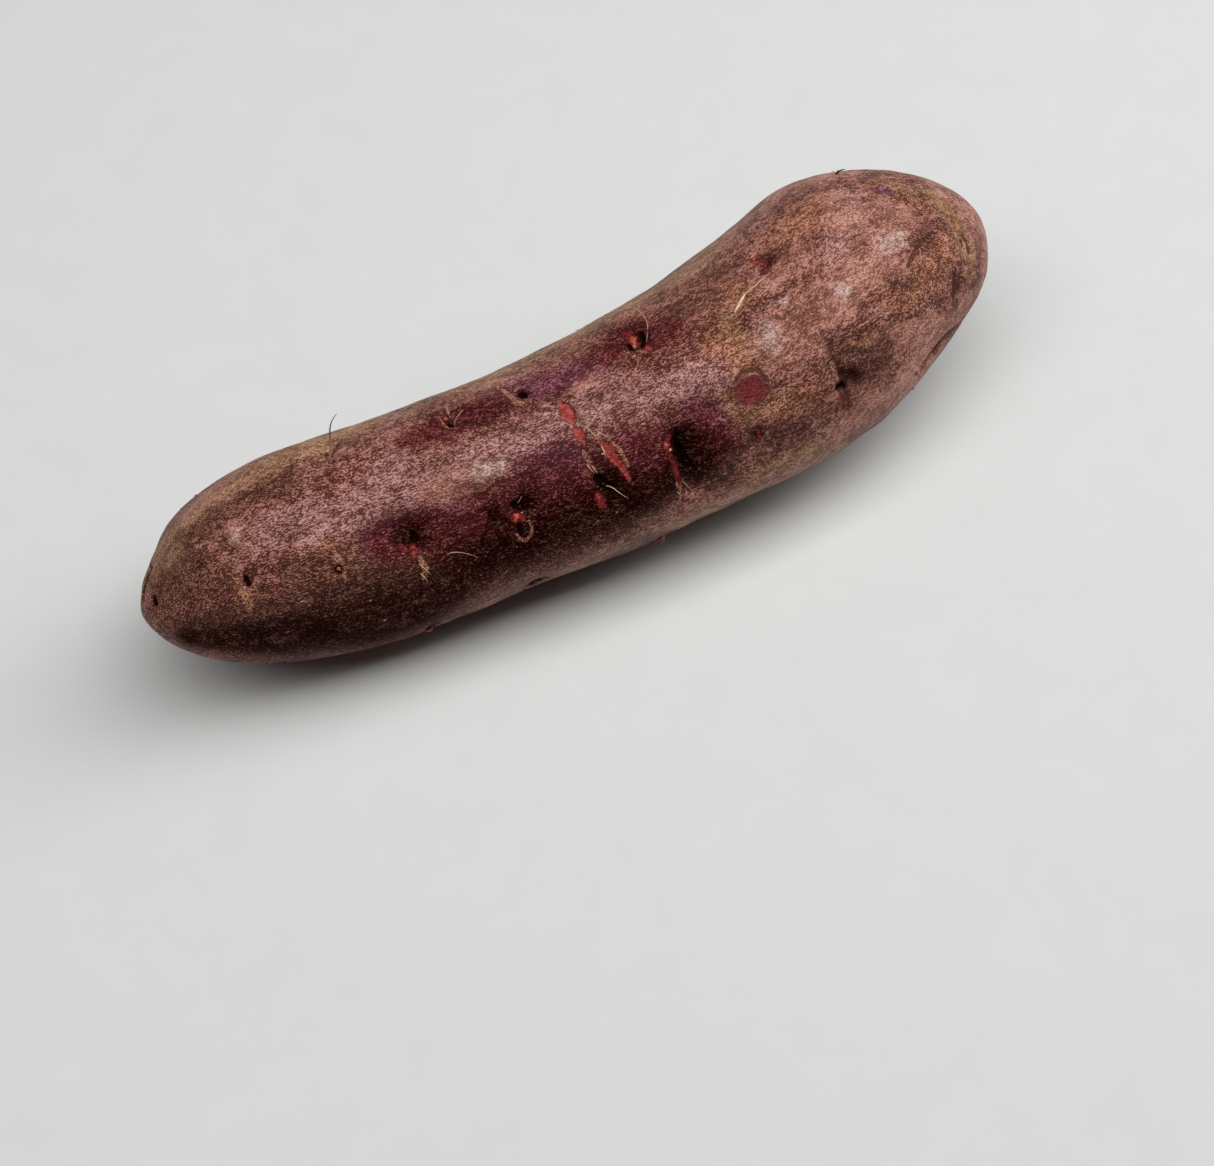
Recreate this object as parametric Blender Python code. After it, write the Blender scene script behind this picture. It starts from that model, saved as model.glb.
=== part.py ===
"""A whole purple sweet potato root, lying as it rests on a table.

Metres, +Z up.  The root runs along X: the tail with its broken tip is at -X and the blunt crown at +X.
The origin is at the middle of the bounding box, on the surface that the root rests on.
Lengths below are in millimetres and angles in degrees.  An angle round the root is 0 at the front (-Y),
90 on top, 180 at the back and 270 underneath.
"""

from collections import namedtuple

import bmesh
import bpy
import numpy as np

MM = 0.001
NAME = "sweet_potato"

# Resolution of the body
RINGS = 100
COLUMNS = 54

# Stations from tail to crown: place along, middle sideways, height of the underside, half width, half height
STATIONS = np.array(
    [
        (-92.0, -4.5, 3.5, 24.0, 21.5),
        (-80.0, -3.5, 0.5, 24.0, 22.5),
        (-66.0, -3.5, -0.3, 22.5, 21.5),
        (-45.0, -5.0, -0.5, 21.0, 20.5),
        (-22.0, -6.5, 0.3, 21.0, 21.0),
        (2.0, -7.5, 0.5, 22.0, 21.5),
        (27.0, -5.5, -0.4, 23.5, 23.0),
        (42.0, -3.5, -0.5, 25.0, 24.0),
        (56.0, -0.5, 0.3, 26.0, 24.5),
        (74.0, 1.5, 2.5, 25.5, 24.0),
        (92.0, 0.0, 6.0, 25.5, 24.0),
    ]
)
ALONG, SIDEWAYS, UNDERSIDE, HALF_WIDTH, HALF_HEIGHT = range(5)
TAIL_CAP = 45.5  # length over which the tail closes
CROWN_CAP = 39.0  # length over which the crown closes
CAP_POWER = 1.83  # 2 would close the ends as ellipses, and less is more pointed

# A mark is a soft round or oval rise or hollow: its middle, its size, how far it rises and how far it is turned
# from running along the root towards running round it
Mark = namedtuple("Mark", "along around length width rise turn")

# Broad forms of the body, which bend light without an edge
FORMS = (
    Mark(-20.0, 3.0, 46.0, 9.0, 0.7, 0.0),  # keel along the lower front
    Mark(28.0, 0.0, 42.0, 10.0, 0.6, 0.0),
    Mark(11.0, 30.0, 13.0, 19.0, -1.3, 0.0),  # hollow round the deep pit
    Mark(-5.0, 42.0, 8.0, 18.0, -0.6, 10.0),  # hollow under the torn skin
    Mark(49.0, 33.0, 9.0, 16.0, -0.9, 0.0),  # hollow beside the crown's crease
    Mark(-43.0, 54.0, 15.0, 12.0, -1.0, 0.0),  # hollow round the largest eye
    Mark(71.0, 66.0, 12.0, 9.0, -0.5, 30.0),
    Mark(-86.0, 122.0, 9.0, 16.0, -0.8, 0.0),  # flattened side of the tail's end
)

# Eyes and buds that show on the upper side
EYES = (
    Mark(-73.0, 57.0, 4.0, 4.0, -0.7, 0.0),
    Mark(-56.8, 54.0, 6.0, 6.0, 0.7, 0.0),
    Mark(-41.6, 52.5, 5.0, 7.0, -2.4, 0.0),
    Mark(-22.0, 46.0, 4.5, 4.5, -1.4, 0.0),
    Mark(-22.5, 36.0, 5.0, 5.0, 0.5, 0.0),
    Mark(-49.0, 118.5, 4.0, 4.0, -1.0, 0.0),
    Mark(-26.5, 104.5, 6.0, 5.0, -1.0, 0.0),
    Mark(-12.7, 108.0, 4.0, 4.0, -0.5, 0.0),
    Mark(12.7, 106.0, 8.0, 6.5, -1.9, 0.0),
    Mark(40.0, 108.0, 6.0, 4.0, -0.5, 40.0),
    Mark(73.5, 99.0, 9.0, 4.0, -0.5, 60.0),
)

# Long hollows, as points along and round the root, with their width and depth
Groove = namedtuple("Groove", "points width depth")
GROOVES = (
    Groove(((11.6, 47.0), (10.4, 34.0), (10.6, 17.0)), 3.2, 2.8),  # deep pit
    Groove(((43.6, 55.0), (45.2, 33.0), (45.8, 11.0)), 2.4, 0.8),  # crease down the crown's neck
    Groove(((-7.0, 61.0), (-5.7, 46.0), (-5.2, 30.0)), 2.8, 0.7),  # rough groove in the middle
    Groove(((80.0, 351.0), (72.4, 4.0), (68.0, 4.0), (64.0, 1.0)), 1.8, 1.0),  # fold under the crown
)

# Rows of eyes on the sides that lie out of sight, by a rule with a seeded spread
HIDDEN_ROWS = (166.0, 224.0, 284.0, 338.0)
ROW_START, ROW_STEP, ROW_COUNT = -68.0, 25.0, 6
ALONG_SPREAD, AROUND_SPREAD = 7.0, 5.0
EYE_SIZES, EYE_DEPTHS = (3.5, 6.5), (0.4, 1.3)
REST_PLACES = (-50.0, 33.0)  # where the root touches the table: no eye lies near
REST_CLEAR = 14.0
UNDERNEATH, UNDERNEATH_SPREAD = 270.0, 25.0
SEED = 11

# Slow waves over the whole skin: waves along the root, waves round it, start angle and height
WAVES = ((1.5, 2, 40.0, 0.16), (2.5, 3, 200.0, 0.16), (4.0, 2, 130.0, 0.12), (5.5, 4, 300.0, 0.08))

STEP = 0.02  # millimetres and degrees over which slopes are taken
REACH = 12.0  # a mark acts no further than this below its own plane

SKIN_COLOUR = (0.130, 0.058, 0.050, 1.0)
SKIN_ROUGHNESS = 0.55


def clear_scene():
    for item in list(bpy.data.objects):
        bpy.data.objects.remove(item, do_unlink=True)


def at_stations(column, along):
    """Smooth curve through one column of the stations: cubic pieces that share a slope at each station,
    which is the mean of the slopes to its neighbours, weighted towards the nearer one."""
    x, y = STATIONS[:, ALONG], STATIONS[:, column]
    gaps = np.diff(x)
    rises = np.diff(y) / gaps
    slopes = np.empty(len(x))
    slopes[0], slopes[-1] = rises[0], rises[-1]
    slopes[1:-1] = (rises[:-1] * gaps[1:] + rises[1:] * gaps[:-1]) / (gaps[:-1] + gaps[1:])
    i = np.clip(np.searchsorted(x, along) - 1, 0, len(x) - 2)
    t = (along - x[i]) / gaps[i]
    start = (1 + 2 * t) * (1 - t) ** 2 * y[i] + t * (1 - t) ** 2 * gaps[i] * slopes[i]
    end = t**2 * (3 - 2 * t) * y[i + 1] + t**2 * (t - 1) * gaps[i] * slopes[i + 1]
    return start + end


def closing(along):
    """Share of the full section at each place: 1 along the body, falling to 0 at the two ends."""

    def rounded(distance, length):
        left = 1 - np.clip(distance / length, 0, 1)
        return np.maximum(1 - left**CAP_POWER, 0) ** (1 / CAP_POWER)

    x = STATIONS[:, ALONG]
    return rounded(along - x[0], TAIL_CAP) * rounded(x[-1] - along, CROWN_CAP)


def plain_skin(along, around):
    """Points of the body without its relief: an ellipse at each place along, whose middle wanders."""
    share = closing(along)
    half_height = at_stations(HALF_HEIGHT, along)
    y = at_stations(SIDEWAYS, along) - at_stations(HALF_WIDTH, along) * share * np.cos(around)
    z = at_stations(UNDERSIDE, along) + half_height + half_height * share * np.sin(around)
    return np.stack([along, y, z], axis=-1)


def unit(vectors):
    return vectors / np.maximum(np.linalg.norm(vectors, axis=-1, keepdims=True), 1e-9)


def frame_at(along, around):
    """Unit vectors along the skin, round it and outwards.  At the two poles outwards is along X."""
    low, high = STATIONS[0, ALONG], STATIONS[-1, ALONG]
    before = plain_skin(np.maximum(along - STEP, low), around)
    after = plain_skin(np.minimum(along + STEP, high), around)
    turn = np.radians(STEP)
    lengthwise = unit(after - before)
    sideways = unit(plain_skin(along, around + turn) - plain_skin(along, around - turn))
    outward = unit(np.cross(lengthwise, sideways))
    pole = closing(along) < 1e-6
    outward[pole] = np.stack([np.sign(along[pole]), 0 * along[pole], 0 * along[pole]], axis=-1)
    return lengthwise, sideways, outward


def mark_height(points, mark):
    """Bell-shaped rise: its height times e to the power of minus the squared distance from its middle,
    measured in half lengths and half widths in the mark's own plane."""
    along, around = np.array([mark.along]), np.radians([mark.around])
    lengthwise, sideways, outward = (vector[0] for vector in frame_at(along, around))
    away = points - plain_skin(along, around)[0]
    turn = np.radians(mark.turn)
    a, b = away @ lengthwise, away @ sideways
    u = (a * np.cos(turn) + b * np.sin(turn)) / (mark.length / 2)
    v = (b * np.cos(turn) - a * np.sin(turn)) / (mark.width / 2)
    return mark.rise * np.exp(-(u**2 + v**2)) * (away @ outward > -REACH)


def groove_height(points, groove):
    """Hollow along straight runs between the groove's points: its depth times e to the power of minus
    the squared distance from the nearest run, measured in half widths."""
    along, around = np.array(groove.points).T
    corners = plain_skin(along, np.radians(around))
    nearest = np.full(len(points), np.inf)
    for start, end in zip(corners[:-1], corners[1:]):
        run = end - start
        share = np.clip((points - start) @ run / (run @ run), 0, 1)
        nearest = np.minimum(nearest, np.linalg.norm(points - start - share[:, None] * run, axis=1))
    return -groove.depth * np.exp(-((nearest / (groove.width / 2)) ** 2))


def hidden_eyes():
    """Eyes in rows along the length, each a little off its place, none where the root touches the table."""
    draw = np.random.default_rng(SEED)
    eyes = []
    for row in HIDDEN_ROWS:
        for k in range(ROW_COUNT):
            along = ROW_START + ROW_STEP * k + draw.uniform(-ALONG_SPREAD, ALONG_SPREAD)
            around = row + draw.uniform(-AROUND_SPREAD, AROUND_SPREAD)
            size, depth = draw.uniform(*EYE_SIZES), draw.uniform(*EYE_DEPTHS)
            under = abs(around - UNDERNEATH) < UNDERNEATH_SPREAD
            if under and min(abs(along - place) for place in REST_PLACES) < REST_CLEAR:
                continue
            eyes.append(Mark(along, around, size, size, -depth, 0.0))
    return eyes


def relief(points, along, around):
    """Height of the skin over the plain body: slow waves, broad forms, eyes and grooves, added up."""
    x = STATIONS[:, ALONG]
    share = (along - x[0]) / (x[-1] - x[0])
    height = np.zeros(len(points))
    for along_waves, around_waves, start, rise in WAVES:
        phase = 2 * np.pi * along_waves * share + around_waves * around + np.radians(start)
        height += rise * np.sin(phase) * closing(along)
    for mark in (*FORMS, *EYES, *hidden_eyes()):
        height += mark_height(points, mark)
    for groove in GROOVES:
        height += groove_height(points, groove)
    return height


def even_places(shares):
    """Places along X for the rings, so that they are evenly spaced along the skin and not along X."""
    x = np.linspace(STATIONS[0, ALONG], STATIONS[-1, ALONG], 4000)
    radius = at_stations(HALF_WIDTH, x) * closing(x)
    length = np.concatenate([[0.0], np.cumsum(np.hypot(np.diff(x), np.diff(radius)))])
    return np.interp(shares * length[-1], length, x)


def root_mesh():
    """A sphere of rings and columns about X, whose points are moved onto the skin."""
    body = bmesh.new()
    bmesh.ops.create_uvsphere(body, u_segments=COLUMNS, v_segments=RINGS, radius=1.0)
    sphere = np.array([vertex.co[:] for vertex in body.verts])
    shares = 0.5 + np.arcsin(np.clip(sphere[:, 2], -1, 1)) / np.pi
    around = np.arctan2(sphere[:, 1], sphere[:, 0])
    along = even_places(shares)
    points = plain_skin(along, around)
    points += frame_at(along, around)[2] * relief(points, along, around)[:, None]
    points[:, 2] = np.maximum(points[:, 2], 0)
    points[:, :2] -= (points[:, :2].min(axis=0) + points[:, :2].max(axis=0)) / 2
    for vertex, point in zip(body.verts, points * MM):
        vertex.co = point
    bmesh.ops.reverse_faces(body, faces=body.faces)  # the move turns the sphere's handedness round
    mesh = bpy.data.meshes.new(NAME)
    body.to_mesh(mesh)
    body.free()
    mesh.shade_smooth()
    return mesh


def skin_material():
    material = bpy.data.materials.new("purple_skin")
    material.use_nodes = True
    shader = material.node_tree.nodes["Principled BSDF"]
    shader.inputs["Base Color"].default_value = SKIN_COLOUR
    shader.inputs["Roughness"].default_value = SKIN_ROUGHNESS
    shader.inputs["Metallic"].default_value = 0.0
    return material


def build():
    clear_scene()
    mesh = root_mesh()
    mesh.materials.append(skin_material())
    root = bpy.data.objects.new(NAME, mesh)
    bpy.context.scene.collection.objects.link(root)


build()
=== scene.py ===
"""The looks of a whole purple sweet potato root, lying on a pale floor.

The skin's formula works in millimetres, and its meshes are in metres.  An angle round the root is 0 at the
front (-Y), 90 on top, 180 at the back and 270 underneath.  "Along" is the place from the tail (-X) to the
crown (+X).
"""

import itertools
import math
from collections import namedtuple

import bpy
import numpy as np
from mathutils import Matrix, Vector


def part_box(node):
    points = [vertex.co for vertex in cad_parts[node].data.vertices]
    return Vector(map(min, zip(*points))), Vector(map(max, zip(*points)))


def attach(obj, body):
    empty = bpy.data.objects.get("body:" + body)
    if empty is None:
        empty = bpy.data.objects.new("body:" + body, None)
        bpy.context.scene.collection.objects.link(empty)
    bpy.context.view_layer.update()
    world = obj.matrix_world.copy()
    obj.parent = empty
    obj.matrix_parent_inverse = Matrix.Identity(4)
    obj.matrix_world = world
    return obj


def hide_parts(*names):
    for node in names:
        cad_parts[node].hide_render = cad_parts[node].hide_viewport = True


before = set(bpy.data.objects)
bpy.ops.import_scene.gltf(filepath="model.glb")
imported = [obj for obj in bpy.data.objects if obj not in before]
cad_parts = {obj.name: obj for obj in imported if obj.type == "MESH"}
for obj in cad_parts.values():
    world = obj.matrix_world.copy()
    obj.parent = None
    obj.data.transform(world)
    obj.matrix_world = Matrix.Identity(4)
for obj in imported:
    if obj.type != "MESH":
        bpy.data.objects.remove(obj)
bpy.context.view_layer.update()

MM = 0.001
BODY = "root"
NODE = "sweet_potato"
SEED = 11

# Resolution of the skin: rings between the two poles, and columns round it, which are closer together on
# the upper front than on the far side
RINGS = 480
COLUMNS = 204
FINE_SIDE = 55.0
GATHER = 0.35

# Stations from tail to crown: place along, middle sideways, the underside's height, half width, half height
STATIONS = np.array(
    [
        (-92, -4.5, 3.5, 24, 21.5),
        (-80, -3.5, 0.5, 24, 22.5),
        (-66, -3.5, -0.3, 22.5, 21.5),
        (-45, -5, -0.5, 21, 20.5),
        (-22, -6.5, 0.3, 21, 21),
        (2, -7.5, 0.5, 22, 21.5),
        (27, -5.5, -0.4, 23.5, 23),
        (42, -3.5, -0.5, 25, 24),
        (56, -0.5, 0.3, 26, 24.5),
        (74, 1.5, 2.5, 25.5, 24),
        (92, 0, 6, 25.5, 24),
    ]
)
ALONG, SIDEWAYS, UNDERSIDE, HALF_WIDTH, HALF_HEIGHT = range(5)
TAIL_CAP = 45.5
CROWN_CAP = 39.0
CAP_POWER = 1.83

# A soft oval rise or hollow: middle, size, height, and its turn from lying along the root to lying round it
Mark = namedtuple("Mark", "along around length width rise turn")

FORMS = (
    Mark(-20, 3, 46, 9, 0.7, 0),
    Mark(28, 0, 42, 10, 0.6, 0),
    Mark(11, 30, 13, 19, -1.3, 0),
    Mark(-5, 42, 8, 18, -0.6, 10),
    Mark(49, 33, 9, 16, -0.9, 0),
    Mark(-43, 54, 15, 12, -1, 0),
    Mark(71, 66, 12, 9, -0.5, 30),
    Mark(-86, 122, 9, 16, -0.8, 0),
)
EYES = (
    Mark(-73, 57, 4, 4, -0.7, 0),
    Mark(-56.8, 54, 6, 6, 0.7, 0),
    Mark(-41.6, 52.5, 5, 7, -2.4, 0),
    Mark(-22, 46, 4.5, 4.5, -1.4, 0),
    Mark(-22.5, 36, 5, 5, 0.5, 0),
    Mark(-49, 118.5, 4, 4, -1, 0),
    Mark(-26.5, 104.5, 6, 5, -1, 0),
    Mark(-12.7, 108, 4, 4, -0.5, 0),
    Mark(12.7, 106, 8, 6.5, -1.9, 0),
    Mark(40, 108, 6, 4, -0.5, 40),
    Mark(73.5, 99, 9, 4, -0.5, 60),
)
Groove = namedtuple("Groove", "points width depth")
GROOVES = (
    Groove(((11.6, 47), (10.4, 34), (10.6, 17)), 3.2, 2.8),
    Groove(((43.6, 55), (45.2, 33), (45.8, 11)), 2.4, 0.8),
    Groove(((-7, 61), (-5.7, 46), (-5.2, 30)), 2.8, 0.7),
    Groove(((80, 351), (72.4, 4), (68, 4), (64, 1)), 1.8, 1),
)
HIDDEN_ROWS = (166.0, 224.0, 284.0, 338.0)
ROW_START, ROW_STEP, ROW_COUNT = -68.0, 25.0, 6
ALONG_SPREAD, AROUND_SPREAD = 7.0, 5.0
EYE_SIZES, EYE_DEPTHS = (3.5, 6.5), (0.4, 1.3)
REST_PLACES = (-50.0, 33.0)
REST_CLEAR = 14.0
UNDERNEATH, UNDERNEATH_SPREAD = 270.0, 25.0
WAVES = ((1.5, 2, 40.0, 0.16), (2.5, 3, 200.0, 0.16), (4.0, 2, 130.0, 0.12), (5.5, 4, 300.0, 0.08))
STEP = 0.02
REACH = 12.0

# The photograph's view: the point on the floor at the picture's middle, and where the camera stands from it
IMAGE_WIDTH = 1214
FOCAL_PIXELS = 2079.0
SENSOR_WIDTH = 36.0
AIM = (-5.8, -23.3, 0.0)
CAMERA_TURN = -26.7
CAMERA_ELEVATION = 62.0
CAMERA_DISTANCE = 420.0
# The floor's reach each way, the distances in metres over which it fades, and the backdrop's grey, which it
# fades into
FLOOR_REACH = 3000.0
FLOOR_FADE = (0.55, 1.5)
BACKDROP = (0.640, 0.645, 0.640)

# Strokes are lines of points: place along, angle round, and the width there in millimetres.  A single point
# is a spot.
# Torn and scuffed places where the red flesh shows
WOUNDS = (
    ((-6.7, 88.3, 0.8), (-6.6, 85.3, 2), (-6.5, 81.3, 2.7), (-6.4, 78.9, 1.9)),
    ((-6.4, 72.2, 1.4), (-6.2, 69.4, 1.8), (-6.2, 65, 0.8)),
    ((-3.1, 61.6, 0.9), (-2.4, 58, 1.9), (-1.9, 52.3, 1.7), (-1.2, 47, 1.2), (-0.5, 38.3, 0.7)),
    ((9.6, 33, 0.8), (9.8, 28.7, 1.4), (9.9, 23, 0.9)),
    ((8.3, 49, 0.6), (8.3, 46, 0.8)),
    ((39.4, 110, 0.5), (40.1, 106, 0.9), (41.2, 101, 0.6)),
    ((13.3, 98.3, 1.2), (13.7, 95.3, 1)),
    ((-42.4, 52.3, 0.5),),
    ((-7.2, 37, 0.6), (-6.9, 34.5, 0.7)),
)
# Older scuffs, of a darker red
SCUFFS = (
    ((-6.2, 52.7, 0.8), (-5.7, 46.7, 0.6)),
    ((-7.1, 37.5, 1.7), (-6.8, 31, 1.9)),
    ((26.5, 52, 4.4), (28.2, 51, 4.6)),
    ((-44.6, 49.3, 1.4), (-44.4, 46.7, 1.2)),
    ((-42.7, 46, 1.4), (-42.7, 42, 1.4)),
    ((-23.7, 41.7, 1.2), (-22.3, 40, 1.4)),
    ((-26.4, 105.3, 0.8), (-26.5, 102, 0.8)),
    ((12.2, 112.5, 2), (12, 104.7, 1.8)),
    ((13.3, 99, 1.6), (13.7, 95.5, 1.6)),
    ((9.5, 51, 1.2), (8.3, 46, 1.4)),
    ((8.5, 41.3, 1), (9.4, 35, 1.8), (9.6, 28, 2.2), (9.9, 20, 1.2)),
    ((41, 106, 1), (42, 101.5, 0.8)),
    ((26.3, 32.5, 0.8), (26.4, 30, 0.9)),
    ((44.6, 25.7, 1), (44.7, 20, 0.9)),
    ((26.6, 111.9, 1),),
)
# Corky, ochre edges and crusts
CORK = (
    ((24.8, 58.3, 0.9), (23.8, 52, 1.4), (25, 45, 1.7), (28.6, 43.3, 1.2), (30.8, 46, 0.8)),
    ((-56.5, 60.5, 0.9), (-56.6, 55.7, 1.7), (-56.6, 51, 1.9), (-56.6, 46.3, 1.3), (-56.6, 42.5, 0.8)),
    ((-56.3, 68.3, 1), (-56.3, 66, 0.6)),
    ((-73, 57.5, 0.8), (-74.5, 52.3, 1.8), (-74.2, 47.3, 2.4), (-74.5, 41.7, 1.4)),
    ((-24.1, 34, 0.5), (-23.8, 30, 0.7), (-22.7, 27.2, 0.9), (-21.5, 29, 0.7), (-21, 34, 0.7),
     (-21.1, 38, 0.5)),
    ((-42.3, 39.7, 1), (-41.9, 33.3, 1.4), (-42.9, 29.3, 1)),
    ((-27.9, 108.3, 0.6), (-27.7, 101.7, 0.6), (-26.4, 98, 0.8)),
    ((-25.6, 114.7, 0.6), (-26.1, 108.3, 0.6)),
    ((-15.1, 115.7, 1.2), (-14.4, 109, 1), (-14.1, 99.3, 1.6), (-13.3, 96.7, 1.2)),
    ((9.3, 104, 0.5), (9.7, 97.7, 0.6), (10.2, 90.3, 0.6)),
    ((11.4, 97.3, 1), (12.3, 94.3, 1.2)),
    ((-1.4, 59.3, 1), (-0.5, 53.7, 1), (-0.1, 46.3, 0.8)),
    ((-6.8, 61, 1), (-6.6, 54.3, 1.2), (-5.9, 48.7, 1)),
    ((8.5, 23, 0.8), (9.4, 16, 1), (10.5, 18.7, 0.8)),
    ((44.5, 43, 0.9), (44.6, 38.3, 1.3), (44.9, 33.5, 0.9)),
    ((49.1, 47, 1.2), (51.9, 40, 1.2)),
    ((75, 101.3, 1.3), (75.4, 92.3, 1.9), (76.1, 84, 1)),
    ((52.3, 42.5, 1.4), (53.4, 40, 1.6)),
    ((69.8, 113, 1.2), (71.6, 109.3, 1.2)),
    ((26.2, 113.3, 1.2), (26.4, 107.7, 1.2)),
    ((-5.2, 87, 0.4), (-4.8, 82.5, 0.6), (-4.8, 77, 0.5), (-5.2, 72, 0.5)),
    ((-7.9, 91, 0.4), (-7.4, 89.5, 0.6)),
)
# Holes and dark soil: near black, which is soil and painted shade in the holes
SOIL_AND_HOLE_SHADE = (
    ((10.9, 44, 0.8), (11.3, 38.5, 1.5), (11.8, 32, 1.5), (12.3, 27, 0.8)),
    ((-6.1, 45.7, 1.4), (-5.7, 41.3, 2), (-4.3, 38, 1.2)),
    ((-41.5, 53, 0.9), (-41.6, 50, 1.3), (-41.8, 48.5, 0.9)),
    ((-22.6, 47.7, 1.2), (-21.6, 45.3, 1.2)),
    ((-23.1, 37.3, 0.8), (-23.2, 34, 1)),
    ((44.4, 30.5, 1), (45.9, 29, 1.3)),
    ((14.2, 109.5, 0.9), (14, 104, 1), (12.9, 101, 0.8)),
    ((10.9, 107.3, 0.8), (10.9, 101.7, 0.8)),
    ((-26.8, 104.3, 1), (-26.4, 101, 0.8)),
    ((-73, 60.3, 0.8), (-73, 56, 1)),
    ((-89.2, 82, 0.6), (-89.2, 71.7, 0.8)),
    ((-12.3, 105.3, 1.2), (-12, 101.3, 1.2)),
    ((-49.5, 117, 1.2), (-49, 116.3, 0.8)),
    ((-56.9, 49.3, 1.5),),
    ((-88, 127, 0.8), (-89.6, 122, 1), (-90.5, 112, 0.9), (-90.8, 102, 0.8)),
)
# Creases and scratches: sunk, and painted dark with the shade that lies in them
CREASES = (
    ((74.4, 69, 0.6), (71.3, 66.3, 0.7), (69.1, 63.3, 0.9), (66.9, 60, 0.9)),
    ((82.1, 60, 0.7), (82.6, 53, 0.8), (82.1, 46, 0.7)),
    ((78.2, 38.7, 0.8), (76.7, 33.3, 1.1), (75, 28.3, 0.8)),
    ((79.6, -8, 1.4), (76, 0, 2), (72.6, 5, 2.4), (69, 5.5, 2.4), (66.2, 3.5, 2), (63.6, 3.5, 1.4)),
    ((24.8, 58.5, 0.7), (27, 61.5, 0.9), (30, 58.5, 1), (31.2, 52, 0.9)),
    ((76.6, 40.7, 0.9), (75.3, 30.3, 1.2)),
    ((81.3, 57.3, 0.7), (81.1, 53.3, 0.7)),
    ((45.6, 42.3, 0.6), (45.7, 35.3, 0.8), (46, 27.7, 1), (46.4, 18.7, 0.6)),
)
# Soft patches of colour.  Shade is painted shade, nearly black: on the lower front, where less light falls,
# and in and beside the pits and dents.  The dark brown patches further down are partly painted shade too
SHADE = (
    ((-86, 20, 7), (-76, 18, 12), (-66, 16, 18), (-54, 12, 24), (-44, 14, 20), (-34, 22, 14)),
    ((-34, 25, 14), (-24, 25, 13), (-14, 26, 13), (-4, 27, 12), (5, 29, 11), (13, 30, 11)),
    ((11, 49, 4.5), (12.6, 42, 8.5), (13.6, 32, 10)),
    ((-26.8, 50, 3.5), (-26.4, 40, 5)),
    ((-20, 48, 4), (-19.5, 40, 4)),
    ((-43.5, 55, 5.5), (-41.3, 51, 6)),
    ((-4, 44, 5), (-3.5, 36, 7)),
    ((46.3, 36, 2.4), (49, 31, 4)),
    ((26.3, 31, 3),),
    ((-22.4, 34, 2.2),),
    ((13, 107.5, 5),),
    ((-12, 102.3, 2.5),),
)
# A pale film on the skin, and painted light where the crown and the bright band catch most light
PALE_FILM_AND_LIGHT = (
    ((40, 92, 6), (46, 96, 8)),
    ((58, 96, 9), (66, 90, 11), (72, 84, 9)),
    ((40, 144, 9), (54, 140, 9), (68, 130, 7)),
    ((50, -2, 9), (60, -3, 10), (70, 0, 8)),
    ((30, 63, 7), (36, 62, 10), (44, 66, 11), (54, 68, 12), (64, 74, 12)),
    ((54, 38, 6), (62, 30, 8), (68, 22, 8)),
    ((42, 8, 5), (50, 6, 8), (60, 6, 9), (68, 14, 9), (78, 14, 10)),
    ((84, 112, 7), (87, 90, 9), (89, 50, 10), (88, 10, 10), (84, -4, 8)),
    ((-72, 92, 3), (-71, 82, 3.5)),
    ((-36, 70, 5), (-30, 68.5, 7), (-26, 71, 5)),
    ((-3, 94, 3), (2, 95, 3.5)),
    ((44, 58, 1.3), (44.1, 51, 1.5), (44.3, 45.5, 1.2)),
)
# Whitish places: pale dust, and a painted highlight where they lie in the bright band
FROST_AND_HIGHLIGHT = (
    ((51.5, 67.3, 3.6), (52.3, 66, 3)),
    ((64, 73.5, 4), (67.8, 74, 3)),
    ((35, 71.3, 4), (34.5, 64.3, 3.5)),
    ((40.3, 79, 2.2),),
    ((-71.5, 85, 2.8),),
    ((-26.5, 71, 3.6), (-22.5, 69, 3)),
)
# A purple-grey film, and a painted highlight along the bright band where the lamp's highlight lies
VIOLET_AND_HIGHLIGHT = (
    ((-68, 80, 7), (-60, 78, 9), (-50, 75, 9.5), (-40, 73, 9.5), (-30, 73.5, 9.5), (-20, 77, 9)),
    ((-20, 77, 9), (-10, 79, 7.5), (0, 78, 8), (10, 74, 7.5), (20, 68, 7.5), (28, 64, 7)),
    ((-44, 90, 5), (-38, 92, 6)),
    ((-36, 126, 4), (-33.5, 140, 5)),
    ((-32, 54, 5),),
    ((-1, 104, 6), (3, 92, 6)),
    ((-89.3, 112, 2.8), (-89.7, 98, 3)),
    ((56, 84, 8), (62, 104, 8)),
)
MAGENTA = (
    ((-15, 106, 7), (-8, 104, 9), (1, 104, 7)),
    ((-16, 60, 8), (-11, 62, 8), (-8.5, 60, 6)),
    ((-20, 58, 6), (-17, 48, 9), (-11, 46, 8)),
    ((-50, 60, 3.5), (-46, 60, 5)),
    ((-36, 56, 6), (-31, 50, 7)),
    ((1, 55, 7), (4, 45, 8)),
    ((15, 57, 6), (18, 50, 6)),
    ((70, 104, 2.6), (72.5, 103, 2.6)),
)
# Dark red and brown places, most of them round the eyes
RED = (
    ((-47, 55, 9), (-40, 53, 11), (-35, 46, 10)),
    ((-35, 42, 12), (-27, 46, 14), (-18, 45, 15), (-9, 44, 14), (0, 44, 15), (8, 44, 15)),
    ((8, 42, 15), (14, 42, 13), (19, 36, 8)),
    ((-36, 104, 4), (-28, 102, 8), (-19, 102, 8)),
    ((6, 106, 8), (12, 106, 13), (18, 98, 8)),
    ((40.5, 97, 2.5), (43, 100, 2.5)),
)
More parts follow.
